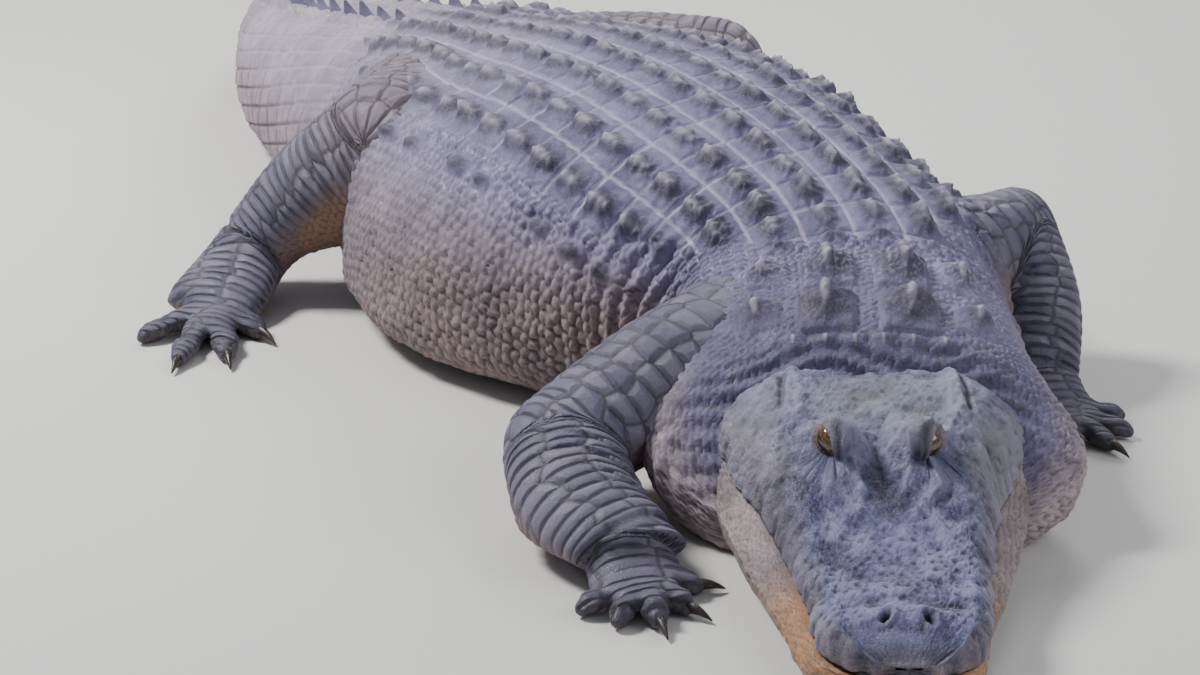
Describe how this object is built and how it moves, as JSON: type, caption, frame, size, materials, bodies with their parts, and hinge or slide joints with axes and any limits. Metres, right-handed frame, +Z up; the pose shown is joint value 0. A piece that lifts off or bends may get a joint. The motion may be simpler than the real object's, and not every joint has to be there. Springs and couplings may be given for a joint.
{
  "type": "american alligator",
  "caption": "Still life-size reptile lying on its belly: broad flat head, keeled plates on neck and back, sprawled limbs, long crested tail.",
  "frame": {"origin": "on the floor under the middle of the trunk, in the flat of the belly", "axes": "+Z up; -Y the way the trunk points, snout end; +X the animal's left"},
  "size_m": [1.221, 3.1483, 0.3661],
  "materials": {
    "hide": "matt scaly hide",
    "head_hide": "matt hide, tight on the skull",
    "jaw_hide": "matt pale hide",
    "limb_hide": "matt banded hide",
    "eye": "wet gloss",
    "claw": "satin horn"
  },
  "bodies": {
    "root": {"claw_fore_left_1": "claw", "claw_fore_left_2": "claw", "claw_fore_left_3": "claw", "claw_fore_right_1": "claw", "claw_fore_right_2": "claw", "claw_fore_right_3": "claw", "claw_hind_left_1": "claw", "claw_hind_left_2": "claw", "claw_hind_left_3": "claw", "claw_hind_right_1": "claw", "claw_hind_right_2": "claw", "claw_hind_right_3": "claw", "eye_left": "eye", "eye_right": "eye", "foot_fore_left": "limb_hide", "foot_fore_right": "limb_hide", "foot_hind_left": "limb_hide", "foot_hind_right": "limb_hide", "head": "head_hide", "lower_jaw": "jaw_hide", "lower_leg_fore_left": "limb_hide", "lower_leg_fore_right": "limb_hide", "lower_leg_hind_left": "limb_hide", "lower_leg_hind_right": "limb_hide", "neck": "hide", "tail_base": "hide", "tail_middle": "hide", "tail_tip": "hide", "torso": "hide", "upper_leg_fore_left": "limb_hide", "upper_leg_fore_right": "limb_hide", "upper_leg_hind_left": "limb_hide", "upper_leg_hind_right": "limb_hide"}
  },
  "joints": []
}
